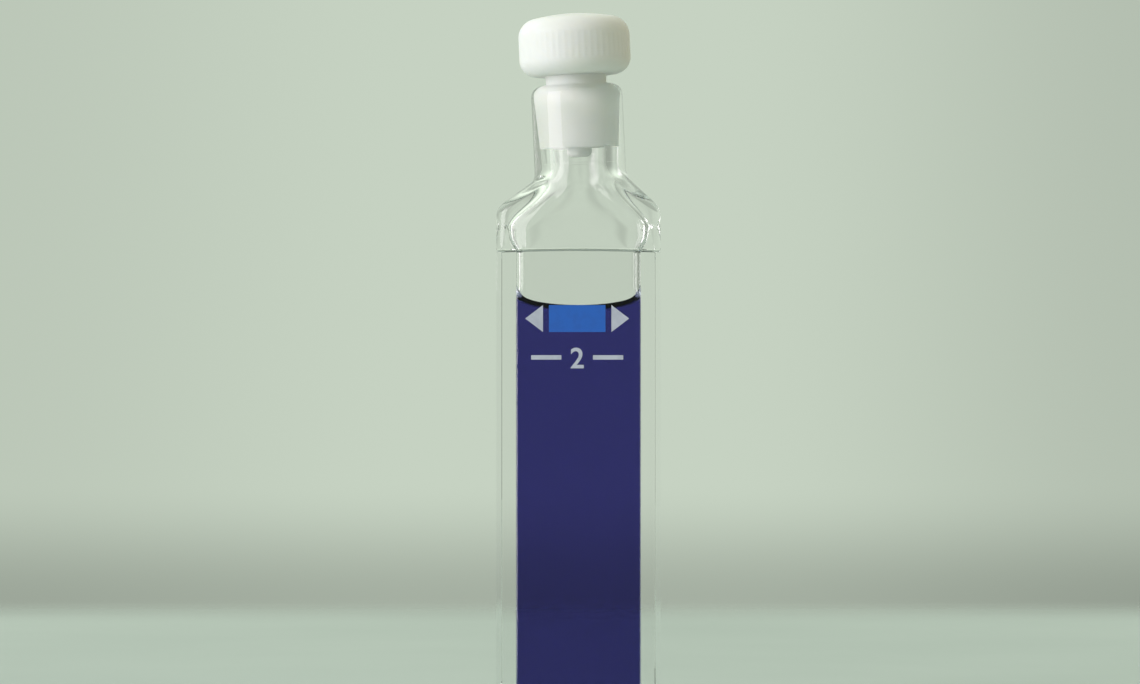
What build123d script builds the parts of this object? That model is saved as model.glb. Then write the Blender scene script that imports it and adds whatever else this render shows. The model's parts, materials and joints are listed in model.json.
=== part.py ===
from build123d import *

import os

# A stoppered quartz cuvette: a flat cell for a short light path, with a moulded
# shoulder and neck fused on top, a turned stopper in the neck and a coloured sample.
# Millimetres and degrees. +Z is up, the front window faces -Y and the origin is the
# centre of the underside.

# Plate body: two windows, two side walls and a floor, fused into one piece
PATH_LENGTH = 2.0
WINDOW_THICKNESS = 1.25
CHAMBER_WIDTH = 9.5
CHAMBER_HEIGHT = 33.75
CHAMBER_CORNER = 0.4
SIDE_WALL = 1.5
FLOOR_THICKNESS = 1.5
EDGE_CHAMFER = 0.4
BASE_CHAMFER = 0.2

# Fused seam between the plates and the moulded top, a shallow groove all round
SEAM_GROOVE_DEPTH = 0.08
SEAM_GROOVE_HEIGHT = 0.18

# Moulded shoulder: an upright skirt, then a slope that turns from oblong to round
SKIRT_HEIGHT = 3.3
SKIRT_SWELL = 0.35
SHOULDER_CHAMFER = 1.0
BEND_HEIGHT = 0.5
BEND_SHARE = 0.2
SLOPE_HEIGHT = 2.3
FACE_ARC = 80.0
END_ARC = 20.0

# Hollow of the shoulder: wider than the chamber at its belly, round where the bore starts
BELLY_HEIGHT = 1.6
BELLY_SWELL = 0.6
BELLY_DEEPENING = 0.2
BELLY_CORNER = 0.8
BORE_DROP = 1.3

# Neck: hand fused, so that it leans a little and stands a little to one side
NECK_LEAN = 2.7
NECK_OFFSET = 0.17
NECK_HEIGHT = 7.15
NECK_WALL = 1.2
RIM_ROUND = 0.9
RIM_BREAK = 0.12
SOCKET_MOUTH = 4.6
SOCKET_TAPER = 0.1
SOCKET_DEPTH = 6.0

# Stopper: a tapered plug in the socket, with a fluted head above the rim
FIT_CLEARANCE = 0.02
PLUG_DEPTH = 4.95
PLUG_CHAMFER = 0.12
NUB_DIAMETER = 1.9
NUB_HEIGHT = 0.65
NUB_CHAMFER = 0.45
HEAD_GAP = 0.7
HEAD_DIAMETER = 8.5
HEAD_HEIGHT = 4.45
HEAD_TOP_ROUND = 1.45
HEAD_FOOT_ROUND = 1.3
HEAD_DOME = 0.3
FLUTE_COUNT = 54
FLUTE_RADIUS = 0.4
FLUTE_DEPTH = 0.045
FLUTE_INSET = 0.05

# Sample: fills the chamber to a level below the seam, with a dished surface
HEADSPACE = 4.6
MENISCUS_RISE = 1.1
MENISCUS_REACH = 0.12
MENISCUS_ROUND = 0.8

# Every cut runs this far past the solid that it cuts
OVERRUN = 1.0

BODY_WIDTH = CHAMBER_WIDTH + 2 * SIDE_WALL
BODY_DEPTH = PATH_LENGTH + 2 * WINDOW_THICKNESS
SEAM_Z = FLOOR_THICKNESS + CHAMBER_HEIGHT
SHOULDER_Z = SEAM_Z + SKIRT_HEIGHT
SHOULDER_DEPTH = BODY_DEPTH + 2 * SKIRT_SWELL
NECK_DIAMETER = SOCKET_MOUTH + 2 * NECK_WALL
MOUTH_RADIUS = SOCKET_MOUTH / 2
BORE_RADIUS = MOUTH_RADIUS - SOCKET_TAPER * SOCKET_DEPTH / 2
LEVEL_Z = SEAM_Z - HEADSPACE

# The neck's own frame: its root's centre, with Z along the leaning axis
NECK = Pos(NECK_OFFSET, 0, SHOULDER_Z + SLOPE_HEIGHT) * Rot(0, -NECK_LEAN, 0)


def level(z):
    """The place on the upright axis at height z."""
    return Pos(0, 0, z)


def oblong(width, depth, corner):
    """A rectangle with round corners, about the origin."""
    return RectangleRounded(width, depth, corner)


def bevelled(width, depth, cut):
    """A rectangle with its corners cut off, about the origin."""
    return chamfer(Rectangle(width, depth).vertices(), cut)


def round_section(radius):
    """A circle in eight arcs, which pair with the sides and corners of a rectangle."""
    start = END_ARC / 2
    corner_arc = (180 - FACE_ARC - END_ARC) / 2
    arcs = []
    for size in [corner_arc, FACE_ARC, corner_arc, END_ARC] * 2:
        arcs.append(CenterArc((0, 0), radius, start, size))
        start += size
    return make_face(arcs)


def plate_block():
    """The outside of the plate body, with its ground edges."""
    block = extrude(bevelled(BODY_WIDTH, BODY_DEPTH, EDGE_CHAMFER), SEAM_Z)
    return chamfer(block.faces().sort_by(Axis.Z)[0].edges(), BASE_CHAMFER)


def between(start, end, share):
    """The value that lies a share of the way from start to end."""
    return start + (end - start) * share


def slope_section(share):
    """The outside of the slope, a share of the way from the bend to the neck's root."""
    width = between(BODY_WIDTH, NECK_DIAMETER, share)
    depth = between(SHOULDER_DEPTH, NECK_DIAMETER, share)
    place = Pos(NECK_OFFSET * share, 0, SHOULDER_Z + SLOPE_HEIGHT * share)
    return place * Rot(0, -NECK_LEAN * share, 0) * bevelled(width, depth, SHOULDER_CHAMFER)


def shoulder_block():
    """The outside of the moulded shoulder: upright skirt, bevelled bend and slope."""
    foot = level(SEAM_Z) * bevelled(BODY_WIDTH, BODY_DEPTH, EDGE_CHAMFER)
    bend_foot = level(SHOULDER_Z - BEND_HEIGHT) * bevelled(BODY_WIDTH, SHOULDER_DEPTH, SHOULDER_CHAMFER)
    bend_top = slope_section(BEND_SHARE)
    root = NECK * round_section(NECK_DIAMETER / 2)
    return loft([foot, bend_foot, bend_top, root], ruled=True)


def neck_tube():
    """The outside of the neck, with its melted rim, on the leaning axis."""
    tube = extrude(Circle(NECK_DIAMETER / 2), NECK_HEIGHT)
    tube = fillet(tube.edges().sort_by(Axis.Z)[-1], RIM_ROUND)
    return NECK * tube


def seam_groove():
    """The shallow ring that is cut round the fused seam."""
    around = Rectangle(BODY_WIDTH + 2 * OVERRUN, BODY_DEPTH + 2 * OVERRUN)
    inset = 2 * SEAM_GROOVE_DEPTH
    kept = bevelled(BODY_WIDTH - inset, BODY_DEPTH - inset, EDGE_CHAMFER)
    ring = extrude(around - kept, SEAM_GROOVE_HEIGHT)
    return level(SEAM_Z - SEAM_GROOVE_HEIGHT / 2) * ring


def chamber_section():
    """The chamber's own oblong section."""
    return oblong(CHAMBER_WIDTH, PATH_LENGTH, CHAMBER_CORNER)


def hollow():
    """Everything that is empty inside the glass: chamber, belly, bore and socket."""
    chamber = level(FLOOR_THICKNESS) * extrude(chamber_section(), CHAMBER_HEIGHT)
    seam = level(SEAM_Z) * chamber_section()
    belly = level(SEAM_Z + BELLY_HEIGHT) * oblong(
        CHAMBER_WIDTH + 2 * BELLY_SWELL, PATH_LENGTH + 2 * BELLY_DEEPENING, BELLY_CORNER
    )
    throat = NECK * (level(-BORE_DROP) * round_section(BORE_RADIUS))
    funnel = loft([seam, belly, throat])
    bore_height = NECK_HEIGHT - SOCKET_DEPTH + BORE_DROP
    bore = level(-BORE_DROP) * extrude(Circle(BORE_RADIUS), bore_height)
    socket = level(NECK_HEIGHT - SOCKET_DEPTH / 2) * Cone(BORE_RADIUS, MOUTH_RADIUS, SOCKET_DEPTH)
    lead_in = level(NECK_HEIGHT - RIM_BREAK / 2) * Cone(MOUTH_RADIUS, MOUTH_RADIUS + RIM_BREAK, RIM_BREAK)
    return chamber + funnel + NECK * (bore + socket + lead_in)


def cell():
    """The whole glass cell as one fused piece."""
    glass = plate_block() + shoulder_block() + neck_tube()
    return glass - seam_groove() - hollow()


def plug_radius(depth):
    """The stopper's radius at a depth below the rim, clear of the tapered socket."""
    return MOUTH_RADIUS - SOCKET_TAPER * depth / 2 - FIT_CLEARANCE


def stopper_blank():
    """The turned stopper before its flutes, with the rim's plane at its height zero."""
    foot_z = -PLUG_DEPTH
    head_z = HEAD_GAP + HEAD_HEIGHT
    head_radius = HEAD_DIAMETER / 2
    nub_radius = NUB_DIAMETER / 2
    tip = (0, foot_z - NUB_HEIGHT)
    head_foot = (head_radius, HEAD_GAP)
    head_edge = (head_radius, head_z)
    outline = Polyline(
        tip,
        (nub_radius - NUB_CHAMFER, foot_z - NUB_HEIGHT),
        (nub_radius, foot_z - NUB_HEIGHT + NUB_CHAMFER),
        (nub_radius, foot_z),
        (plug_radius(PLUG_DEPTH) - PLUG_CHAMFER, foot_z),
        (plug_radius(PLUG_DEPTH - PLUG_CHAMFER), foot_z + PLUG_CHAMFER),
        (plug_radius(-HEAD_GAP), HEAD_GAP),
        head_foot,
        head_edge,
    )
    apex = (0, head_z + HEAD_DOME)
    crown = TangentArc(apex, head_edge, tangent=(1, 0))
    section = make_face(outline + crown + Line(apex, tip))
    for point, radius in [(head_foot, HEAD_FOOT_ROUND), (head_edge, HEAD_TOP_ROUND)]:
        section = fillet(section.vertices().sort_by_distance((*point, 0))[0], radius)
    return revolve(Plane.XZ * section, Axis.Z)


def head_flutes():
    """The ring of cutters for the straight flutes, which stop short of the head's rounds."""
    ring_radius = HEAD_DIAMETER / 2 + FLUTE_RADIUS - FLUTE_DEPTH
    foot = HEAD_GAP + HEAD_FOOT_ROUND + FLUTE_INSET
    top = HEAD_GAP + HEAD_HEIGHT - HEAD_TOP_ROUND - FLUTE_INSET
    half_pitch = 180 / FLUTE_COUNT
    cutter = level(foot) * extrude(Circle(FLUTE_RADIUS), top - foot)
    return [place * cutter for place in PolarLocations(ring_radius, FLUTE_COUNT, half_pitch)]


def stopper():
    """The finished stopper, seated in the neck."""
    return NECK * (level(NECK_HEIGHT) * (stopper_blank() - head_flutes()))


def dip(half_span, rise):
    """The region above a half ellipse that dips to height zero at its middle."""
    lid_z = MENISCUS_RISE + MENISCUS_ROUND + OVERRUN
    trough = EllipticalCenterArc((0, rise), half_span, rise, 180, arc_size=180)
    lid = Polyline((half_span, rise), (half_span, lid_z), (-half_span, lid_z), (-half_span, rise))
    return make_face(trough + lid)


def meniscus_bowl():
    """The dish of air above the sample, seen from the front and from the side."""
    front = Plane.XZ * dip(CHAMBER_WIDTH / 2 + MENISCUS_REACH, MENISCUS_RISE)
    side = Plane.YZ * dip(PATH_LENGTH / 2 + MENISCUS_REACH, MENISCUS_ROUND)
    across = extrude(front, PATH_LENGTH / 2 + OVERRUN, both=True)
    along = extrude(side, CHAMBER_WIDTH / 2 + OVERRUN, both=True)
    return level(LEVEL_Z) * (across & along)


def sample():
    """The coloured sample, face to face with the chamber's walls and floor."""
    column = extrude(chamber_section(), LEVEL_Z + MENISCUS_RISE + MENISCUS_ROUND - FLOOR_THICKNESS)
    return level(FLOOR_THICKNESS) * column - meniscus_bowl()


os.makedirs("parts", exist_ok=True)
for name, build in {"cell": cell, "stopper": stopper, "sample_liquid": sample}.items():
    piece = build()
    print(name, "volume", round(piece.volume, 2), "mm3, solids", len(piece.solids()))
    export_step(piece, f"parts/{name}.step")
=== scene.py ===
import json
import math

import bpy
import bmesh
import numpy as np
from mathutils import Matrix, Vector


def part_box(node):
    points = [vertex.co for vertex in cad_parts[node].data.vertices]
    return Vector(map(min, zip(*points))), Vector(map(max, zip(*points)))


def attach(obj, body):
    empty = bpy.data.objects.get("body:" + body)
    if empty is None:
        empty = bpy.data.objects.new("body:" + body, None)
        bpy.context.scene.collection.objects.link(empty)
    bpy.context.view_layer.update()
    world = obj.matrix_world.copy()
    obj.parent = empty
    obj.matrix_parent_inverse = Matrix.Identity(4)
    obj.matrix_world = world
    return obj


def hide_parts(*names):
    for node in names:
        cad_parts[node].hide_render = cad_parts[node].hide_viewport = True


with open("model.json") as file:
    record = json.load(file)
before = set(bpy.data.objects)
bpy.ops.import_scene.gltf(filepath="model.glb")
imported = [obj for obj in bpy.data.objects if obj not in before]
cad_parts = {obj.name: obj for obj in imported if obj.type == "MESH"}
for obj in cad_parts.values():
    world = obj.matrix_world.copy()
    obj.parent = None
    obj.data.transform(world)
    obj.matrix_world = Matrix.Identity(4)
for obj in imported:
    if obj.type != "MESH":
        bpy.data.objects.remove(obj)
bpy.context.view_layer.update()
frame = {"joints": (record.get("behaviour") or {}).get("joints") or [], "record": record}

# A stoppered quartz cuvette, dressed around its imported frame. Metres, +Z up, front window at -Y.

MM = 0.001

# Points nearer to each other than this are one point
SAME_POINT = 0.0005 * MM

# Sizes read from the frame
mounts = {mount["name"]: mount for mount in frame["record"]["mounts"]}
liquid_low, liquid_high = (Vector(corner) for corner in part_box("sample_liquid"))
pull_axis = Vector(frame["joints"][0]["axis"]).normalized()
BODY_WIDTH = 2 * mounts["right_side"]["pos_m"][0]
BODY_DEPTH = 2 * mounts["rear_window"]["pos_m"][1]
CHAMBER_WIDTH = liquid_high.x - liquid_low.x
PATH_LENGTH = liquid_high.y - liquid_low.y
CHAMBER_FLOOR = liquid_low.z

# Plate body
CHAMBER_CORNER = 0.15 * MM
EDGE_CHAMFER = 0.4 * MM
BASE_CHAMFER = 0.2 * MM

# Fused seam: a soft groove with a grey line along it, which arches a little over the windows
SEAM_Z = CHAMBER_FLOOR + 33.75 * MM
SEAM_GROOVE = 0.14 * MM
SEAM_HALF_HEIGHT = 0.08 * MM
INNER_GROOVE = 0.22 * MM
SEAM_ARCH = 0.14 * MM
SEAM_LINE = 0.07 * MM

# Moulded shoulder and its hollow
SKIRT_HEIGHT = 3.3 * MM
SKIRT_SWELL = 0.35 * MM
SHOULDER_CORNER = 1.2 * MM
SLOPE_HEIGHT = 2.3 * MM
SHOULDER_Z = SEAM_Z + SKIRT_HEIGHT
ROOT_Z = SHOULDER_Z + SLOPE_HEIGHT
BELLY_HEIGHT = 1.6 * MM
BELLY_SWELL = 0.6 * MM
BELLY_ROUND_SHARE = 0.95
BELLY_REACH = 3.0 * MM
BELLY_CROWN = 1.55 * MM
BELLY_BULGE = 0.4 * MM
BEND_FOOT_SHARE = 0.17
BEND_TOP_SHARE = 0.27
BEND_REACH = 0.6 * MM
ROOT_SHARE = 0.12
FACE_ARC = math.radians(80)
END_ARC = math.radians(20)

# Neck and socket, on the leaning axis
NECK_OFFSET = 0.17 * MM
NECK_HEIGHT = 7.15 * MM
NECK_RADIUS = 3.5 * MM
ROOT_FILLET = 0.7 * MM
RIM_ROUND = 0.9 * MM
RIM_BREAK = 0.12 * MM
MOUTH_RADIUS = 2.3 * MM
SOCKET_TAPER = 0.1
SOCKET_DEPTH = 6.0 * MM
BORE_RADIUS = MOUTH_RADIUS - SOCKET_TAPER * SOCKET_DEPTH / 2
BORE_FOOT = 1.1 * MM
BORE_DROP = 1.1 * MM
HOLLOW_HEIGHT = 5.25 * MM
THROAT_REACH = 0.4 * MM
NECK_LEAN = math.atan2(pull_axis.x, pull_axis.z)
NECK = Matrix.Translation((NECK_OFFSET, 0, ROOT_Z)) @ Matrix.Rotation(NECK_LEAN, 4, "Y")

# Stopper, measured from the rim's plane
PRESSED_IN = 0.004 * MM
PLUG_DEPTH = 4.95 * MM
PLUG_CHAMFER = 0.12 * MM
NUB_RADIUS = 0.95 * MM
NUB_HEIGHT = 0.65 * MM
NUB_ROUND = 0.45 * MM
HEAD_GAP = 0.7 * MM
HEAD_RADIUS = 4.25 * MM
HEAD_HEIGHT = 4.45 * MM
HEAD_TOP_ROUND = 1.45 * MM
HEAD_FOOT_ROUND = 1.3 * MM
HEAD_DOME = 0.3 * MM
FLUTE_COUNT = 54
FLUTE_DEPTH = 0.015 * MM
FLUTE_HALF_SHARE = 0.42
FLUTE_FADE = 0.45 * MM
STEPS_PER_FLUTE = 8

# Sample: it reaches a hair into the glass, so that no film of air is left between them
LEVEL_Z = SEAM_Z - 4.58 * MM
WET_OVERLAP = 0.015 * MM
MENISCUS_RISE = 1.1 * MM
MENISCUS_BOW = 0.46 * MM
MENISCUS_REACH = 0.05 * MM
CORNER_CREEP = 0.8 * MM
CORNER_CREEP_WIDTH = 0.28 * MM

# Film drawn up the chamber's corners above the sample, which rounds them
FILM_ROUND = 0.7 * MM
FILM_FOOT_Z = LEVEL_Z + 1.8 * MM
FILM_FADE = 0.7 * MM

# Printed marks on the front window
PRINT_THICKNESS = 0.012 * MM
PRINT_TOP_Z = 31.13 * MM
PRINT_HEIGHT = 2.05 * MM
PRINT_CENTRE_X = -0.1 * MM
BAR_WIDTH = 4.3 * MM
ARROW_WIDTH = 1.35 * MM
ARROW_GAP = 0.45 * MM
FIGURE_FOOT_Z = 26.35 * MM
FIGURE_HEIGHT = 1.6 * MM
FIGURE_CAP_SHARE = 0.73
FIGURE_BOLDNESS = 0.03 * MM
DASH_WIDTH = 2.3 * MM
DASH_HEIGHT = 0.34 * MM
DASH_GAP = 1.2 * MM

# Camera, placed by the photograph's scale
IMAGE_WIDTH = 1140
IMAGE_HEIGHT = 684
PIXELS_PER_M = 13.16 / MM
BASE_PIXEL_Y = 714.7
BODY_PIXEL_X = 578.5
CAMERA_DISTANCE = 350 * MM
CAMERA_CLIP = 10 * MM
SENSOR_WIDTH = 36 * MM

# Table round the part: it fades into the wall at its back, and a hair of air stays under the part's base
TABLE_WIDTH = 900 * MM
TABLE_FRONT = 300 * MM
TABLE_BACK = 155 * MM
TABLE_FADE = 45 * MM
TABLE_GAP = 0.02 * MM

# How far in front of the part the table shows in the windows' reflections
MIRRORED_TABLE = 30 * MM

# Lamp: a soft window on the left
LAMP_PLACE = Vector((-0.81, -0.43, 0.19))
LAMP_TARGET = Vector((0, 0, 0.03))
LAMP_WIDTH = 0.66
LAMP_HEIGHT = 0.88
LAMP_RADIANCE = 3.75
LAMP_COLOUR = (1.0, 0.925, 0.985)

# Room: where a ray's direction passes from one side to the next, from -1 to 1 along each axis
FRONT_RANGE = (-0.35, 0.45)
LEFT_RANGE = (-0.7, -0.25)
RIGHT_RANGE = (0.3, 0.8)
CEILING_RANGE = (0.25, 0.75)
WALL_RANGE = (0.97, 0.99)
WALL_LEFT_RANGE = (-0.13, -0.03)
WALL_RIGHT_RANGE = (0.03, 0.13)
WALL_SHADOW_RANGE = (-0.056, -0.03)
WALL_SHADOW_AHEAD_RANGE = (0.8, 0.92)
MIRRORED_FRONT_RANGE = (-0.995, -0.98)
WARM_RANGE = (0.0, 0.7)

# Room: how bright each side is against the wall behind the part, and what its darker places lose: the front
# as seen in reflections, and a painted shadow along the wall's foot above the table
FRONT_LEVEL = 0.62
LEFT_LEVEL = 1.15
RIGHT_LEVEL = 0.58
CEILING_LEVEL = 1.7
WALL_LEFT_LEVEL = 0.89
WALL_RIGHT_LEVEL = 0.81
WALL_SHADOW_LOSS = 0.33
MIRRORED_FRONT_LOSS = 0.68

# Steps along the eight runs of a ring: end, corner, face, corner, and again
RUN_STEPS = (16, 12, 64, 12) * 2

# Steps from ring to ring of the glass and of the sample's surface, and the close pairs at long walls' ends
EDGE_EASE = 0.04 * MM
SEAM_STEPS = 6
SKIRT_STEPS = 24
BEND_STEPS = 24
SLOPE_STEPS = 10
ROOT_STEPS = 10
RIM_STEPS = 16
ROOF_STEPS = 48
BELLY_STEPS = 16
FILM_STEPS = 8
MENISCUS_STEPS = 60
MENISCUS_CROWDING = 1.6

# Steps along the stopper's outline, and the top round's arc in degrees
NUB_STEPS = 8
HEAD_FOOT_STEPS = 16
HEAD_SIDE_STEPS = 40
HEAD_TOP_STEPS = 18
HEAD_TOP_ARC = 84
DOME_STEPS = 12

# Edges sharper than this, in degrees, stay sharp in the shading
SHARP_ANGLE = 28
STOPPER_SHARP_ANGLE = 35

# Quartz: smears and the melted top's ripple
QUARTZ_IOR = 1.458
SMEAR_SCALE = 160.0
SMEAR_RANGE = (0.58, 0.75)
SMEAR_ROUGHNESS = 0.012
RIPPLE_SCALE = 420.0
RIPPLE_DEPTH = 0.02 * MM
RIPPLE_STRENGTH = 0.6

# Sample: how much light it takes up, and faint streaks
SAMPLE_IOR = 1.333
SAMPLE_DENSITY = 1700.0
STREAK_SCALE = 90.0
STREAK_RANGE = (0.35, 0.7)
STREAK_ROUGHNESS = 0.004

# Stopper: light that spreads under its skin, turning lines, clouds and specks
STOPPER_IOR = 1.38
STOPPER_ROUGHNESS = (0.38, 0.52)
GLOW_SHARE = 0.6
GLOW_DEPTH = 1.0 * MM
GLOW_RADII = (1.0, 0.95, 0.85)
TURNING_PITCH = 0.11 * MM
TURNING_WAVER = 6.0
TURNING_SHARE = 0.5
TURNING_DEPTH = 0.006 * MM
TURNING_STRENGTH = 0.5
CLOUD_SCALE = 260.0
CLOUD_COLOUR_RANGE = (0.3, 0.75)
CLOUD_RANGE = (0.3, 0.7)
SPECK_SCALE = 2600.0
SPECK_RANGE = (0.66, 0.78)
SPECK_SHARE = 0.3

# Print: its mottle
MOTTLE_SCALE = 1500.0
MOTTLE_RANGE = (0.35, 0.7)
MOTTLE_DEPTH = 0.004 * MM
MOTTLE_STRENGTH = 0.5
PRINT_ROUGHNESS = 0.35
MOTTLE_ROUGHNESS = 0.15

# Table: its cloudy tone
TABLE_CLOUD_SCALE = 14.0
TABLE_ROUGHNESS = (0.5, 0.62)


class Wire:
    """An output of a node tree, or the bare tree, with Python's operators as Math nodes."""

    def __init__(self, tree, socket=None):
        self.tree = tree
        self.socket = socket

    def add(self, kind, settings=None, inputs=None, output=0):
        """Add a node: its settings, then its sockets' values or links. Wire one output, if it has any."""
        node = self.tree.nodes.new(kind)
        for name, value in (settings or {}).items():
            setattr(node, name, value)
        for name, value in (inputs or {}).items():
            if isinstance(value, Wire):
                self.tree.links.new(value.socket, node.inputs[name])
            else:
                node.inputs[name].default_value = value
        return Wire(self.tree, node.outputs[output] if node.outputs else None)

    def math(self, operation, *values):
        return self.add("ShaderNodeMath", {"operation": operation}, dict(enumerate(values)))

    def __add__(self, other):
        return self.math("ADD", self, other)

    def __radd__(self, other):
        return self.math("ADD", other, self)

    def __sub__(self, other):
        return self.math("SUBTRACT", self, other)

    def __rsub__(self, other):
        return self.math("SUBTRACT", other, self)

    def __mul__(self, other):
        return self.math("MULTIPLY", self, other)

    def __rmul__(self, other):
        return self.math("MULTIPLY", other, self)

    def __truediv__(self, other):
        return self.math("DIVIDE", self, other)

    def __rtruediv__(self, other):
        return self.math("DIVIDE", other, self)

    def __pow__(self, other):
        return self.math("POWER", self, other)

    def __rpow__(self, other):
        return self.math("POWER", other, self)

    def clamped(self, low, high, to_low=0.0, to_high=1.0):
        """Ease from to_low to to_high while this value goes from low to high."""
        return self.add(
            "ShaderNodeMapRange",
            {"interpolation_type": "SMOOTHSTEP", "clamp": True},
            {"Value": self, "From Min": low, "From Max": high, "To Min": to_low, "To Max": to_high},
        )


def srgb(red, green, blue):
    """A linear colour from display values out of 255."""
    def linear(value):
        share = value / 255
        return share / 12.92 if share <= 0.04045 else ((share + 0.055) / 1.055) ** 2.4
    return (linear(red), linear(green), linear(blue), 1.0)


# Colours
CLEAR = (1.0, 1.0, 1.0, 1.0)
CLEAR_SMEAR = (0.985, 0.99, 0.985, 1.0)
CLEAR_STREAK = (0.96, 0.96, 0.98, 1.0)
SEAM_GREY = (0.36, 0.38, 0.36, 1.0)
SAMPLE_TINT = (0.08, 0.045, 0.6, 1.0)
STOPPER_WHITE = srgb(249, 250, 247)
STOPPER_CLOUD = srgb(244, 245, 240)
STOPPER_SPECK = srgb(228, 228, 219)
PRINT_BLUE = srgb(44, 109, 212)
PRINT_BLUE_WORN = srgb(41, 103, 204)
PRINT_PALE = srgb(206, 211, 228)
PRINT_PALE_WORN = srgb(192, 197, 216)
TABLE_PALE = srgb(193, 206, 200)
TABLE_CLOUD = srgb(187, 200, 194)
WALL_PALE = srgb(198, 210, 194)
ROOM_LIGHT = srgb(198, 210, 202)
RIGHT_LIGHT = srgb(208, 193, 156)


# Materials


def new_material(name):
    """A material with an empty node tree, and the tree's wire."""
    material = bpy.data.materials.new(name)
    material.use_nodes = True
    material.node_tree.nodes.clear()
    return material, Wire(material.node_tree)


def object_place(wire):
    return wire.add("ShaderNodeTexCoord", output="Object")


def on_axis(wire, vector, axis):
    """One of a vector's three values."""
    return wire.add("ShaderNodeSeparateXYZ", inputs={0: vector}, output=axis)


def noise(wire, place, scale, detail):
    return wire.add("ShaderNodeTexNoise", inputs={"Vector": place, "Scale": scale, "Detail": detail})


def mixed(wire, share, first, second):
    """A colour between two colours, by the Mix node's sockets for colours."""
    return wire.add("ShaderNodeMix", {"data_type": "RGBA"}, {0: share, 6: first, 7: second}, output=2)


def light_path(wire, kind):
    return wire.add("ShaderNodeLightPath", output=kind)


def returned_light(wire):
    """One for light that was mirrored on its way, and zero for the rest."""
    return wire.math("MINIMUM", light_path(wire, "Glossy Depth"), 1.0)


def bump(wire, height, distance, strength):
    return wire.add("ShaderNodeBump", inputs={"Height": height, "Distance": distance, "Strength": strength})


def quartz_material():
    """Clear fused quartz, with faint smears, a rippled melted top and a grey line along its seam."""
    material, wire = new_material("fused_quartz")
    place = object_place(wire)
    side, height = on_axis(wire, place, "X"), on_axis(wire, place, "Z")
    melted = height.clamped(SEAM_Z, SHOULDER_Z)
    smear = noise(wire, place, SMEAR_SCALE, detail=4.0).clamped(*SMEAR_RANGE)
    clear = mixed(wire, smear, CLEAR, CLEAR_SMEAR)
    off_seam = height - SEAM_Z - SEAM_ARCH * (1 - (side * (2 / BODY_WIDTH)) ** 2.0)
    fused = wire.math("ABSOLUTE", off_seam).clamped(SEAM_LINE / 2, SEAM_LINE, 1.0, 0.0)
    ripple = noise(wire, place, RIPPLE_SCALE, detail=2.0) * melted
    quartz = wire.add("ShaderNodeBsdfPrincipled", inputs={
        "Base Color": mixed(wire, fused, clear, SEAM_GREY),
        "Roughness": smear * SMEAR_ROUGHNESS,
        "Normal": bump(wire, ripple, RIPPLE_DEPTH, RIPPLE_STRENGTH),
        "IOR": QUARTZ_IOR,
        "Transmission Weight": 1.0,
    })
    wire.add("ShaderNodeOutputMaterial", inputs={"Surface": quartz})
    return material


def sample_material():
    """The dark blue-violet sample: a clear liquid that absorbs along the light's way."""
    material, wire = new_material("blue_sample")
    streak = noise(wire, object_place(wire), STREAK_SCALE, detail=2.0).clamped(*STREAK_RANGE)
    skin = wire.add("ShaderNodeBsdfPrincipled", inputs={
        "Base Color": mixed(wire, streak, CLEAR, CLEAR_STREAK),
        "Roughness": streak * STREAK_ROUGHNESS,
        "IOR": SAMPLE_IOR,
        "Transmission Weight": 1.0,
    })
    absorbing = {"Color": SAMPLE_TINT, "Density": SAMPLE_DENSITY}
    inside = wire.add("ShaderNodeVolumeAbsorption", inputs=absorbing)
    wire.add("ShaderNodeOutputMaterial", inputs={"Surface": skin, "Volume": inside})
    return material


def stopper_material():
    """Waxy white fluoropolymer with fine turning lines and a few faint specks."""
    material, wire = new_material("turned_fluoropolymer")
    place = object_place(wire)
    cloud = noise(wire, place, CLOUD_SCALE, detail=4.0)
    turns = on_axis(wire, place, "Z") * (math.tau / TURNING_PITCH)
    lines = wire.math("SINE", turns + cloud * TURNING_WAVER)
    speck = noise(wire, place, SPECK_SCALE, detail=2.0).clamped(*SPECK_RANGE)
    white = mixed(wire, cloud.clamped(*CLOUD_COLOUR_RANGE), STOPPER_WHITE, STOPPER_CLOUD)
    skin = lines * TURNING_SHARE + cloud
    waxy = wire.add("ShaderNodeBsdfPrincipled", inputs={
        "Base Color": mixed(wire, speck * SPECK_SHARE, white, STOPPER_SPECK),
        "Roughness": cloud.clamped(*CLOUD_RANGE, *STOPPER_ROUGHNESS),
        "Normal": bump(wire, skin, TURNING_DEPTH, TURNING_STRENGTH),
        "IOR": STOPPER_IOR,
        "Subsurface Weight": GLOW_SHARE,
        "Subsurface Radius": GLOW_RADII,
        "Subsurface Scale": GLOW_DEPTH,
    })
    wire.add("ShaderNodeOutputMaterial", inputs={"Surface": waxy})
    return material


def print_material(name, colour, worn):
    """Fired print on glass: a thin mottled colour."""
    material, wire = new_material(name)
    mottle = noise(wire, object_place(wire), MOTTLE_SCALE, detail=3.0).clamped(*MOTTLE_RANGE)
    enamel = wire.add("ShaderNodeBsdfPrincipled", inputs={
        "Base Color": mixed(wire, mottle, colour, worn),
        "Roughness": mottle * MOTTLE_ROUGHNESS + PRINT_ROUGHNESS,
        "Normal": bump(wire, mottle, MOTTLE_DEPTH, MOTTLE_STRENGTH),
    })
    wire.add("ShaderNodeOutputMaterial", inputs={"Surface": enamel})
    return material


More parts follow.
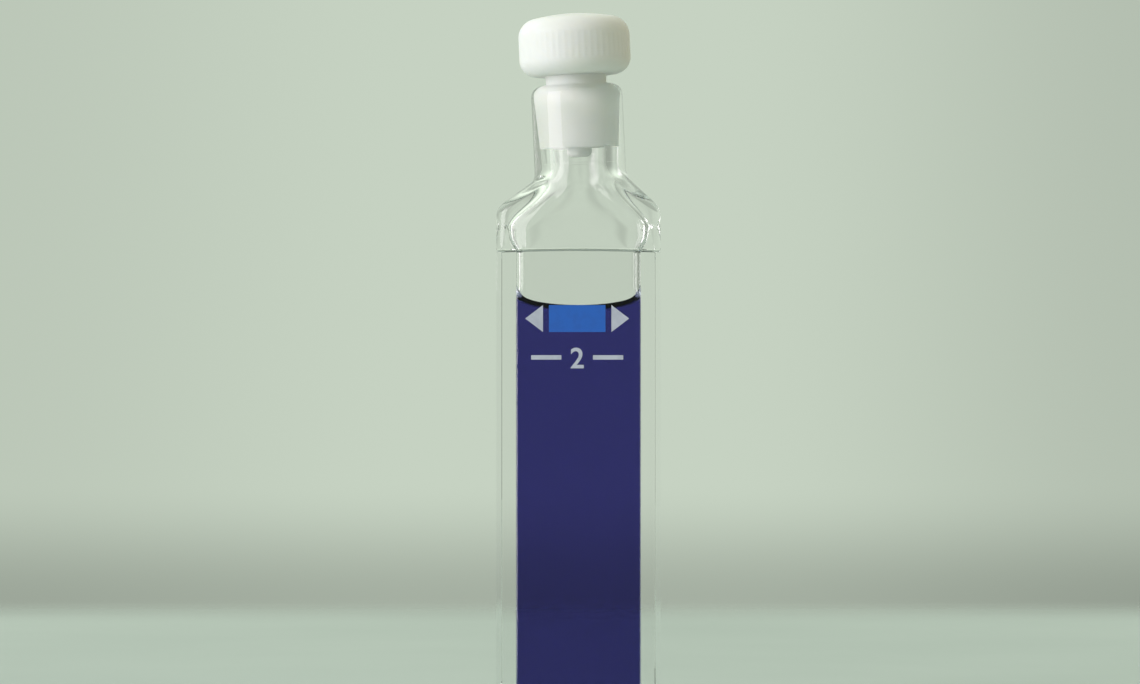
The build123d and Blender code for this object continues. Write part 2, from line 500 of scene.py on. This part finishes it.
def floor_material():
    """A pale, faintly cloudy table top, whose far front stays out of the windows' reflections."""
    material, wire = new_material("pale_table")
    place = object_place(wire)
    cloud = noise(wire, place, TABLE_CLOUD_SCALE, detail=4.0)
    top = wire.add("ShaderNodeBsdfPrincipled", inputs={
        "Base Color": mixed(wire, cloud.clamped(*CLOUD_RANGE), TABLE_PALE, TABLE_CLOUD),
        "Roughness": cloud.clamped(*CLOUD_RANGE, *TABLE_ROUGHNESS),
    })
    depth = on_axis(wire, place, "Y")
    through_glass = light_path(wire, "Is Transmission Ray") * light_path(wire, "Diffuse Depth")
    indirect = wire.math("MINIMUM", returned_light(wire) + through_glass, 1.0)
    faded = depth.clamped(TABLE_BACK - TABLE_FADE, TABLE_BACK)
    unseen = wire.math("LESS_THAN", depth, -MIRRORED_TABLE) * indirect + faded
    clear = wire.add("ShaderNodeBsdfTransparent")
    shown = wire.add("ShaderNodeMixShader", inputs={0: unseen, 1: top, 2: clear})
    wire.add("ShaderNodeOutputMaterial", inputs={"Surface": shown})
    return material


# Rings and lofts of the glass


def ring_points(point):
    """Points along the eight runs of a ring, from a rule for each share of a run."""
    runs = enumerate(RUN_STEPS)
    return np.array([point(run, step / steps) for run, steps in runs for step in range(steps)])


def oblong_ring(width, depth, cut, roundness, reach=None):
    """A rectangle about the origin: corners flat at roundness 0, round at 1, with a reach along x."""
    reach = reach or cut
    half_x, half_y = width / 2, depth / 2
    in_x, in_y = half_x - reach, half_y - cut
    corners = np.array([
        (half_x, -in_y), (half_x, in_y), (in_x, half_y), (-in_x, half_y),
        (-half_x, in_y), (-half_x, -in_y), (-in_x, -half_y), (in_x, -half_y),
    ])

    def point(run, share):
        start, end = corners[run], corners[(run + 1) % len(corners)]
        flat = start + (end - start) * share
        if run % 2 == 0:
            return flat
        angle = math.pi / 2 * ((run - 1) / 2 + share)
        centre_x = math.copysign(in_x, start[0] + end[0])
        centre_y = math.copysign(in_y, start[1] + end[1])
        arc = np.array((centre_x + reach * math.cos(angle), centre_y + cut * math.sin(angle)))
        return flat + (arc - flat) * roundness

    return ring_points(point)


def round_ring(radius):
    """A circle whose runs pair with those of an oblong."""
    corner_arc = (math.pi - FACE_ARC - END_ARC) / 2
    sizes = (END_ARC, corner_arc, FACE_ARC, corner_arc) * 2
    starts = np.concatenate(([0.0], np.cumsum(sizes)[:-1])) - END_ARC / 2

    def point(run, share):
        angle = starts[run] + sizes[run] * share
        return (radius * math.cos(angle), radius * math.sin(angle))

    return ring_points(point)


def at_level(ring, z, arch=0.0):
    """Put a flat ring at height z, lifted by the seam's arch along its middle."""
    lift = arch * (1 - (2 * ring[:, 0] / BODY_WIDTH) ** 2)
    return np.column_stack((ring, z + lift))


def on_neck(radius, height):
    """A circle about the neck's own axis, at a height above its root."""
    ring = round_ring(radius)
    local = np.column_stack((ring, np.full(len(ring), height), np.ones(len(ring))))
    return (local @ np.array(NECK).T)[:, :3]


def straight(first, last, count):
    """Rings between two rings, without the last."""
    return [first + (last - first) * step / count for step in range(count)]


def eased(first, last):
    """Rings for a long straight wall: close pairs at its ends keep its shading flat, without the last."""
    length = np.linalg.norm(last - first, axis=1).mean()
    share = EDGE_EASE / length
    return [first, first + (last - first) * share, last + (first - last) * share]


def curved(first, turn, last, count):
    """Rings along the curve that leaves first and reaches last by way of turn, without the last."""
    rings = []
    for step in range(count):
        share = step / count
        rings.append(first * (1 - share) ** 2 + turn * 2 * share * (1 - share) + last * share ** 2)
    return rings


def swept(first, first_turn, last_turn, last, count):
    """Rings along the curve from first to last with a turn near each, without the last."""
    rings = []
    for step in range(count):
        share = step / count
        rest = 1 - share
        early = first * rest ** 3 + first_turn * 3 * rest ** 2 * share
        rings.append(early + last_turn * 3 * rest * share ** 2 + last * share ** 3)
    return rings


def seam_rings(width, depth, cut, roundness, sink):
    """Rings up over the seam's soft groove, which moves the wall out by sink at its middle."""
    rings = []
    for step in range(-SEAM_STEPS, SEAM_STEPS + 1):
        share = step / SEAM_STEPS
        move = 2 * sink * (1 - share ** 2) ** 2
        ring = oblong_ring(width + move, depth + move, cut, roundness)
        rings.append(at_level(ring, SEAM_Z + share * SEAM_HALF_HEIGHT, SEAM_ARCH))
    return rings


def ramp(past, reach):
    """Nothing before a bend and the way past it after it, rounded over a reach to either side."""
    near = min(max(past, -reach), reach)
    return (near + reach) ** 2 / (4 * reach) + max(past - reach, 0)


def hollow_depth(height):
    """Half the hollow's depth at a height above the seam: an even wall under the skirt and the slope."""
    lean = SKIRT_SWELL / SKIRT_HEIGHT
    slope = (BORE_RADIUS - PATH_LENGTH / 2 - SKIRT_SWELL) / (HOLLOW_HEIGHT - SKIRT_HEIGHT)
    turned = (slope - lean) * ramp(height - SKIRT_HEIGHT, BEND_REACH)
    return PATH_LENGTH / 2 + lean * height + turned - slope * ramp(height - HOLLOW_HEIGHT, THROAT_REACH)


def belly_ring(height, swell):
    """The shoulder's hollow at a height above the seam, wider than the chamber by a swell to either side."""
    half_depth = hollow_depth(height)
    width = CHAMBER_WIDTH + 2 * swell
    ring = oblong_ring(width, 2 * half_depth, half_depth * BELLY_ROUND_SHARE, 1, BELLY_REACH)
    return at_level(ring, SEAM_Z + height)


def even_walled(ring):
    """A ring of the hollow, drawn in or out to the hollow's depth at its height."""
    share = hollow_depth(ring[:, 2].mean() - SEAM_Z) / np.abs(ring[:, 1]).max()
    return ring * np.array((1, share, 1))


def outside_rings():
    """Up the outside of the cell, from its underside to the top of the neck's root."""
    base = oblong_ring(BODY_WIDTH - 2 * BASE_CHAMFER, BODY_DEPTH - 2 * BASE_CHAMFER, EDGE_CHAMFER, 0)
    wall = oblong_ring(BODY_WIDTH, BODY_DEPTH, EDGE_CHAMFER, 0)
    rings = [at_level(base, 0.0)]
    rings += eased(at_level(wall, BASE_CHAMFER), at_level(wall, SEAM_Z - SEAM_HALF_HEIGHT, SEAM_ARCH))
    groove = seam_rings(BODY_WIDTH, BODY_DEPTH, EDGE_CHAMFER, 0, -SEAM_GROOVE)
    rings += groove[:-1]
    foot = groove[-1]
    bend = at_level(oblong_ring(BODY_WIDTH, BODY_DEPTH + 2 * SKIRT_SWELL, SHOULDER_CORNER, 1), SHOULDER_Z)
    root = on_neck(NECK_RADIUS, 0.0)
    bend_foot = bend + (foot - bend) * BEND_FOOT_SHARE
    bend_top = bend + (root - bend) * BEND_TOP_SHARE
    root_foot = root + (bend - root) * ROOT_SHARE
    root_top = on_neck(NECK_RADIUS, ROOT_FILLET)
    rings += straight(foot, bend_foot, SKIRT_STEPS) + curved(bend_foot, bend, bend_top, BEND_STEPS)
    rings += straight(bend_top, root_foot, SLOPE_STEPS) + curved(root_foot, root, root_top, ROOT_STEPS)
    return rings + [root_top]


def neck_rings():
    """Up the neck, over its melted rim and down the socket and the bore."""
    rim_foot = on_neck(NECK_RADIUS, NECK_HEIGHT - RIM_ROUND)
    rings = eased(on_neck(NECK_RADIUS, ROOT_FILLET), rim_foot)[1:]
    for step in range(RIM_STEPS + 1):
        angle = math.pi / 2 * step / RIM_STEPS
        radius = NECK_RADIUS - RIM_ROUND * (1 - math.cos(angle))
        rings.append(on_neck(radius, NECK_HEIGHT - RIM_ROUND * (1 - math.sin(angle))))
    mouth = on_neck(MOUTH_RADIUS - SOCKET_TAPER * RIM_BREAK / 2, NECK_HEIGHT - RIM_BREAK)
    socket_foot = on_neck(BORE_RADIUS, NECK_HEIGHT - SOCKET_DEPTH)
    bore_foot = on_neck(BORE_RADIUS, BORE_FOOT)
    rings.append(on_neck(MOUTH_RADIUS + RIM_BREAK, NECK_HEIGHT))
    return rings + eased(mouth, socket_foot) + eased(socket_foot, bore_foot)


def hollow_rings():
    """From the bore out into the shoulder's belly, in to the seam and down the chamber."""
    bore_foot = on_neck(BORE_RADIUS, BORE_FOOT)
    throat = on_neck(BORE_RADIUS, -BORE_DROP)
    belly = belly_ring(BELLY_HEIGHT, BELLY_SWELL)
    belly_top = belly_ring(BELLY_HEIGHT + BELLY_CROWN, BELLY_SWELL + BELLY_BULGE)
    belly_foot = belly_ring(BELLY_HEIGHT / 2, BELLY_SWELL)
    groove = seam_rings(CHAMBER_WIDTH, PATH_LENGTH, FILM_ROUND, 1, INNER_GROOVE)[::-1]
    film_foot = at_level(oblong_ring(CHAMBER_WIDTH, PATH_LENGTH, FILM_ROUND, 1), FILM_FOOT_Z)
    chamber = oblong_ring(CHAMBER_WIDTH, PATH_LENGTH, CHAMBER_CORNER, 1)
    under_film = at_level(chamber, FILM_FOOT_Z - FILM_FADE)
    floor = at_level(chamber, CHAMBER_FLOOR)
    roof = [even_walled(ring) for ring in swept(bore_foot, throat, belly_top, belly, ROOF_STEPS)]
    rings = roof + curved(belly, belly_foot, groove[0], BELLY_STEPS) + groove[:-1]
    rings += eased(groove[-1], film_foot) + straight(film_foot, under_film, FILM_STEPS)
    return rings + eased(under_film, floor) + [floor]


def mesh_from_rings(name, rings):
    """A closed mesh of quads between rings, with a face over the first and the last."""
    count = len(rings[0])
    points = np.concatenate(rings)
    faces = []
    for row in range(len(rings) - 1):
        for column in range(count):
            here, there = row * count + column, row * count + (column + 1) % count
            faces.append((here, there, there + count, here + count))
    last = (len(rings) - 1) * count
    faces.append(tuple(range(count - 1, -1, -1)))
    faces.append(tuple(range(last, last + count)))
    mesh = bpy.data.meshes.new(name)
    mesh.from_pydata(points.tolist(), [], faces)
    return mesh


def finish_piece(name, mesh, material, body, replaced=None, sharp_angle=SHARP_ANGLE):
    """Shade a mesh, give it its material and hang it on a body of the frame."""
    mesh.validate()
    mesh.shade_smooth()
    mesh.set_sharp_from_angle(angle=math.radians(sharp_angle))
    mesh.materials.clear()
    mesh.materials.append(material)
    mesh.name = name
    piece = bpy.data.objects.new(name, mesh)
    bpy.context.scene.collection.objects.link(piece)
    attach(piece, body)
    if replaced:
        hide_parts(replaced)


def make_cell():
    """The glass as one closed surface, up its outside and down its inside."""
    mesh = mesh_from_rings("cell_glass", outside_rings() + neck_rings() + hollow_rings())
    finish_piece("cell_glass", mesh, quartz_material(), "cell", "cell")


# The sample and its dished surface


def meniscus_height(points):
    """Height of the sample's surface above its lowest line, for points (x, y)."""
    half_x = CHAMBER_WIDTH / 2 + MENISCUS_REACH
    x, y = np.abs(points[:, 0]), np.abs(points[:, 1])
    across = MENISCUS_RISE * (1 - np.sqrt(1 - (x / half_x) ** 2))
    between = MENISCUS_BOW * (2 * y / PATH_LENGTH) ** 2
    to_corner = np.hypot(CHAMBER_WIDTH / 2 - x, PATH_LENGTH / 2 - y)
    return across + between + CORNER_CREEP * np.exp(-to_corner / CORNER_CREEP_WIDTH)


def make_sample():
    """The sample's closed surface: floor, walls, and rings that draw in over the meniscus."""
    grow = 2 * WET_OVERLAP
    outline = oblong_ring(CHAMBER_WIDTH + grow, PATH_LENGTH + grow, CHAMBER_CORNER + WET_OVERLAP, 1)
    rings = [at_level(outline, CHAMBER_FLOOR - WET_OVERLAP)]
    for step in range(MENISCUS_STEPS):
        flat = outline * (1 - (step / MENISCUS_STEPS) ** MENISCUS_CROWDING)
        rings.append(np.column_stack((flat, LEVEL_Z + meniscus_height(flat))))
    mesh = mesh_from_rings("sample_fill", rings)
    finish_piece("sample_fill", mesh, sample_material(), "cell", "sample_liquid")


# The stopper: a turned outline swept round its axis, with flutes pressed into the head


def plug_radius(depth):
    return MOUTH_RADIUS - SOCKET_TAPER * depth / 2 + PRESSED_IN


def arc_points(centre, radius, start, end, count):
    """Points on an arc in the outline's plane, angles in degrees."""
    angles = [math.radians(start + (end - start) * step / count) for step in range(count + 1)]
    return [(centre[0] + radius * math.cos(angle), centre[1] + radius * math.sin(angle)) for angle in angles]


def even_points(first, last, count):
    """Points from first to last, both left out."""
    return [tuple(a + (b - a) * step / count for a, b in zip(first, last)) for step in range(1, count)]


def stopper_outline():
    """The stopper's half section from its tip to its apex, as (radius, height above the rim)."""
    foot = -PLUG_DEPTH
    head_top = HEAD_GAP + HEAD_HEIGHT
    corner = (HEAD_RADIUS - HEAD_TOP_ROUND, head_top - HEAD_TOP_ROUND)
    points = [
        (0.0, foot - NUB_HEIGHT),
        *arc_points((NUB_RADIUS - NUB_ROUND, foot - NUB_HEIGHT + NUB_ROUND), NUB_ROUND, -90, 0, NUB_STEPS),
        (NUB_RADIUS, foot),
        (plug_radius(PLUG_DEPTH) - PLUG_CHAMFER, foot),
        (plug_radius(PLUG_DEPTH - PLUG_CHAMFER), foot + PLUG_CHAMFER),
        (plug_radius(-HEAD_GAP), HEAD_GAP),
    ]
    foot_centre = (HEAD_RADIUS - HEAD_FOOT_ROUND, HEAD_GAP + HEAD_FOOT_ROUND)
    points += arc_points(foot_centre, HEAD_FOOT_ROUND, -90, 0, HEAD_FOOT_STEPS)
    points += even_points(points[-1], (HEAD_RADIUS, corner[1]), HEAD_SIDE_STEPS)
    points += arc_points(corner, HEAD_TOP_ROUND, 0, HEAD_TOP_ARC, HEAD_TOP_STEPS)
    edge_radius, edge_height = points[-1]
    for step in range(1, DOME_STEPS + 1):
        share = 1 - step / DOME_STEPS
        rise = (head_top + HEAD_DOME - edge_height) * (1 - share ** 2)
        points.append((edge_radius * share, edge_height + rise))
    return points


def turning_tree():
    """Sweep an outline's points round the Z axis and press flutes into a band of it."""
    tree = bpy.data.node_groups.new("turned_and_fluted", "GeometryNodeTree")
    inputs = {
        "Outline": "NodeSocketGeometry",
        "Outline Points": "NodeSocketInt",
        "Steps Round": "NodeSocketInt",
        "Flute Count": "NodeSocketInt",
        "Flute Depth": "NodeSocketFloat",
        "Flute Half Share": "NodeSocketFloat",
        "Band Foot": "NodeSocketFloat",
        "Band Top": "NodeSocketFloat",
        "Fade": "NodeSocketFloat",
        "Finish": "NodeSocketMaterial",
    }
    for name, kind in inputs.items():
        tree.interface.new_socket(name, in_out="INPUT", socket_type=kind)
    tree.interface.new_socket("Geometry", in_out="OUTPUT", socket_type="NodeSocketGeometry")
    wire = Wire(tree)
    given = {name: wire.add("NodeGroupInput", output=name) for name in inputs}

    place = wire.add("GeometryNodeInputPosition")
    columns, rows = given["Steps Round"] + 1, given["Outline Points"]
    grid = wire.add(
        "GeometryNodeMeshGrid",
        inputs={"Size X": 1.0, "Size Y": 1.0, "Vertices X": columns, "Vertices Y": rows},
    )
    along = on_axis(wire, place, "X") + 0.5
    up = on_axis(wire, place, "Y") + 0.5
    corner = wire.add(
        "GeometryNodeSampleIndex",
        {"data_type": "FLOAT_VECTOR", "domain": "POINT"},
        {"Geometry": given["Outline"], "Value": place, "Index": wire.math("ROUND", up * (rows - 1))},
    )
    radius, height = on_axis(wire, corner, "X"), on_axis(wire, corner, "Z")

    turn = wire.math("FRACT", along * given["Flute Count"])
    from_middle = (turn - 0.5) / given["Flute Half Share"]
    hollow = wire.math("MAXIMUM", 1 - from_middle * from_middle, 0.0)
    above_foot = ((height - given["Band Foot"]) / given["Fade"] + 1).clamped(0.0, 1.0)
    below_top = ((given["Band Top"] - height) / given["Fade"] + 1).clamped(0.0, 1.0)
    pressed = radius - hollow * given["Flute Depth"] * above_foot * below_top
    angle = along * math.tau
    across, deep = pressed * wire.math("COSINE", angle), pressed * wire.math("SINE", angle)
    turned_place = wire.add("ShaderNodeCombineXYZ", inputs={"X": across, "Y": deep, "Z": height})
    turned = wire.add("GeometryNodeSetPosition", inputs={"Geometry": grid, "Position": turned_place})
    closed = wire.add("GeometryNodeMergeByDistance", inputs={"Geometry": turned, "Distance": SAME_POINT})
    real = wire.add("GeometryNodeRealizeInstances", inputs={"Geometry": closed})
    finished = wire.add("GeometryNodeSetMaterial", inputs={"Geometry": real, "Material": given["Finish"]})
    wire.add("NodeGroupOutput", inputs={"Geometry": finished})
    return tree


def evaluated_mesh(name, base_mesh, tree, values):
    """Run a geometry tree on a mesh and keep its result as a plain mesh."""
    holder = bpy.data.objects.new(name + "_base", base_mesh)
    bpy.context.scene.collection.objects.link(holder)
    modifier = holder.modifiers.new("shape", "NODES")
    modifier.node_group = tree
    for item in tree.interface.items_tree:
        if item.item_type == "SOCKET" and item.in_out == "INPUT" and item.name in values:
            modifier[item.identifier] = values[item.name]
    bpy.context.view_layer.update()
    depsgraph = bpy.context.evaluated_depsgraph_get()
    mesh = bpy.data.meshes.new_from_object(holder.evaluated_get(depsgraph))
    holder.modifiers.remove(modifier)
    bpy.data.objects.remove(holder)
    return mesh


def outward(mesh):
    """Merge a mesh's doubles and turn its faces outwards."""
    work = bmesh.new()
    work.from_mesh(mesh)
    bmesh.ops.remove_doubles(work, verts=work.verts, dist=SAME_POINT)
    bmesh.ops.recalc_face_normals(work, faces=work.faces)
    work.to_mesh(mesh)
    work.free()


def make_stopper():
    """The turned stopper, stood on the neck's leaning axis."""
    outline = stopper_outline()
    edges = [(index, index + 1) for index in range(len(outline) - 1)]
    line = bpy.data.meshes.new("stopper_outline")
    line.from_pydata([(radius, 0.0, height) for radius, height in outline], edges, [])
    finish = stopper_material()
    values = {
        "Outline Points": len(outline),
        "Steps Round": FLUTE_COUNT * STEPS_PER_FLUTE,
        "Flute Count": FLUTE_COUNT,
        "Flute Depth": FLUTE_DEPTH,
        "Flute Half Share": FLUTE_HALF_SHARE,
        "Band Foot": HEAD_GAP + HEAD_FOOT_ROUND,
        "Band Top": HEAD_GAP + HEAD_HEIGHT - HEAD_TOP_ROUND,
        "Fade": FLUTE_FADE,
        "Finish": finish,
    }
    mesh = evaluated_mesh("stopper", line, turning_tree(), values)
    outward(mesh)
    mesh.transform(NECK @ Matrix.Translation((0, 0, NECK_HEIGHT)))
    finish_piece("stopper_turned", mesh, finish, "stopper", "stopper", STOPPER_SHARP_ANGLE)


# Printed marks


def plate_mesh(name, corners):
    """A thin plate on the front window, from its corners (x, z) seen from the front."""
    work = bmesh.new()
    front = [work.verts.new((x, -BODY_DEPTH / 2 - PRINT_THICKNESS, z)) for x, z in corners]
    back = [work.verts.new((x, -BODY_DEPTH / 2, z)) for x, z in corners]
    work.faces.new(front)
    work.faces.new(back[::-1])
    for index in range(len(corners)):
        after = (index + 1) % len(corners)
        work.faces.new((front[index], back[index], back[after], front[after]))
    bmesh.ops.recalc_face_normals(work, faces=work.faces)
    mesh = bpy.data.meshes.new(name)
    work.to_mesh(mesh)
    work.free()
    return mesh


def make_marks():
    """A blue bar between two pale arrows, and below it a figure between two pale dashes."""
    blue = print_material("blue_print", PRINT_BLUE, PRINT_BLUE_WORN)
    pale = print_material("pale_print", PRINT_PALE, PRINT_PALE_WORN)
    foot, top, middle = PRINT_TOP_Z - PRINT_HEIGHT, PRINT_TOP_Z, PRINT_TOP_Z - PRINT_HEIGHT / 2
    half = BAR_WIDTH / 2
    inner, tip = half + ARROW_GAP, half + ARROW_GAP + ARROW_WIDTH
    low = FIGURE_FOOT_Z + FIGURE_HEIGHT / 2 - DASH_HEIGHT / 2
    high = low + DASH_HEIGHT
    near, far = DASH_GAP, DASH_GAP + DASH_WIDTH
    outlines = {
        "mark_bar": [(-half, foot), (half, foot), (half, top), (-half, top)],
        "mark_arrow_right": [(inner, foot), (tip, middle), (inner, top)],
        "mark_arrow_left": [(-inner, top), (-tip, middle), (-inner, foot)],
        "mark_dash_right": [(near, low), (far, low), (far, high), (near, high)],
        "mark_dash_left": [(-far, low), (-near, low), (-near, high), (-far, high)],
    }
    for name, corners in outlines.items():
        placed = [(x + PRINT_CENTRE_X, z) for x, z in corners]
        finish_piece(name, plate_mesh(name, placed), blue if name == "mark_bar" else pale, "cell")
    figure = bpy.data.curves.new("path_figure", "FONT")
    figure.body = "2"
    figure.size = FIGURE_HEIGHT / FIGURE_CAP_SHARE
    figure.offset = FIGURE_BOLDNESS
    figure.extrude = PRINT_THICKNESS / 2
    figure.align_x = "CENTER"
    holder = bpy.data.objects.new("path_figure_base", figure)
    bpy.context.scene.collection.objects.link(holder)
    bpy.context.view_layer.update()
    mesh = bpy.data.meshes.new_from_object(holder.evaluated_get(bpy.context.evaluated_depsgraph_get()))
    bpy.data.objects.remove(holder)
    outward(mesh)
    stand = Matrix.Rotation(math.pi / 2, 4, "X")
    foot_place = (PRINT_CENTRE_X, -BODY_DEPTH / 2 - PRINT_THICKNESS / 2, FIGURE_FOOT_Z)
    mesh.transform(Matrix.Translation(foot_place) @ stand)
    finish_piece("mark_figure", mesh, pale, "cell")


# Stage, light and camera


def make_floor():
    """A pale table, which ends behind the part where the photograph's table does."""
    half = TABLE_WIDTH / 2
    corners = [(-half, -TABLE_FRONT), (half, -TABLE_FRONT), (half, TABLE_BACK), (-half, TABLE_BACK)]
    mesh = bpy.data.meshes.new("table")
    mesh.from_pydata([(x, y, -TABLE_GAP) for x, y in corners], [], [(0, 1, 2, 3)])
    mesh.materials.append(floor_material())
    table = bpy.data.objects.new("table", mesh)
    bpy.context.scene.collection.objects.link(table)


def make_world():
    """A pale wall behind the part with a painted shadow along its foot, a bright ceiling and a dimmer room
    in front, by the ray's direction.
    """
    world = bpy.data.worlds.new("pale_room")
    bpy.context.scene.world = world
    world.use_nodes = True
    world.node_tree.nodes.clear()
    wire = Wire(world.node_tree)
    ray = wire.add("ShaderNodeTexCoord", output="Generated")
    side, depth, height = (on_axis(wire, ray, axis) for axis in "XYZ")
    dimmed = returned_light(wire) * depth.clamped(*MIRRORED_FRONT_RANGE, MIRRORED_FRONT_LOSS, 0.0)
    room = depth.clamped(*FRONT_RANGE, FRONT_LEVEL, 1.0) * (1 - dimmed)
    sides = side.clamped(*LEFT_RANGE, LEFT_LEVEL, 1.0) * side.clamped(*RIGHT_RANGE, 1.0, RIGHT_LEVEL)
    ceiling = height.clamped(*CEILING_RANGE, 1.0, CEILING_LEVEL)
    wall_left = side.clamped(*WALL_LEFT_RANGE, WALL_LEFT_LEVEL, 1.0)
    wall = wall_left * side.clamped(*WALL_RIGHT_RANGE, 1.0, WALL_RIGHT_LEVEL)
    ahead = depth.clamped(*WALL_RANGE)
    # Painted shadow: a darker band along the wall's foot, where the table meets it
    foot = depth.clamped(*WALL_SHADOW_AHEAD_RANGE) * height.clamped(*WALL_SHADOW_RANGE, WALL_SHADOW_LOSS, 0.0)
    level = room * sides * ceiling * (wall * ahead + (1 - ahead)) * (1 - foot)
    camera, mirrored, through = (
        light_path(wire, f"Is {kind} Ray") for kind in ("Camera", "Glossy", "Transmission")
    )
    seen = wire.math("MAXIMUM", wire.math("MAXIMUM", camera, mirrored), through)
    light = mixed(wire, side.clamped(*WARM_RANGE), ROOM_LIGHT, RIGHT_LIGHT)
    colour = mixed(wire, seen, light, WALL_PALE)
    background = wire.add("ShaderNodeBackground", inputs={"Color": colour, "Strength": level})
    wire.add("ShaderNodeOutputWorld", inputs={"Surface": background})


def make_lamp():
    """A soft rectangular lamp, like a window on the left."""
    lamp = bpy.data.lights.new("window_left", "AREA")
    lamp.shape = "RECTANGLE"
    lamp.size = LAMP_WIDTH
    lamp.size_y = LAMP_HEIGHT
    lamp.energy = LAMP_RADIANCE * math.pi * LAMP_WIDTH * LAMP_HEIGHT
    lamp.color = LAMP_COLOUR
    holder = bpy.data.objects.new("window_left", lamp)
    holder.location = LAMP_PLACE
    holder.rotation_euler = (LAMP_TARGET - LAMP_PLACE).to_track_quat("-Z", "Y").to_euler()
    holder.visible_camera = False
    bpy.context.scene.collection.objects.link(holder)


def make_camera():
    """A level camera whose picture has the photograph's scale and framing."""
    lens = bpy.data.cameras.new("photo_view")
    lens.sensor_width = SENSOR_WIDTH / MM
    view_width = IMAGE_WIDTH / PIXELS_PER_M
    lens.lens = lens.sensor_width * CAMERA_DISTANCE / view_width
    lens.clip_start = CAMERA_CLIP
    camera = bpy.data.objects.new("photo_view", lens)
    camera.location = (
        (IMAGE_WIDTH / 2 - BODY_PIXEL_X) / PIXELS_PER_M,
        -BODY_DEPTH / 2 - CAMERA_DISTANCE,
        (BASE_PIXEL_Y - IMAGE_HEIGHT / 2) / PIXELS_PER_M,
    )
    camera.rotation_euler = (math.pi / 2, 0, 0)
    bpy.context.scene.collection.objects.link(camera)
    bpy.context.scene.camera = camera


make_cell()
make_sample()
make_stopper()
make_marks()
make_floor()
make_world()
make_lamp()
make_camera()

scene = bpy.context.scene
scene.view_settings.view_transform = "Standard"
scene.cycles.max_bounces = 32
scene.cycles.transmission_bounces = 32
scene.cycles.glossy_bounces = 16
scene.cycles.diffuse_bounces = 12
scene.cycles.blur_glossy = 0.0
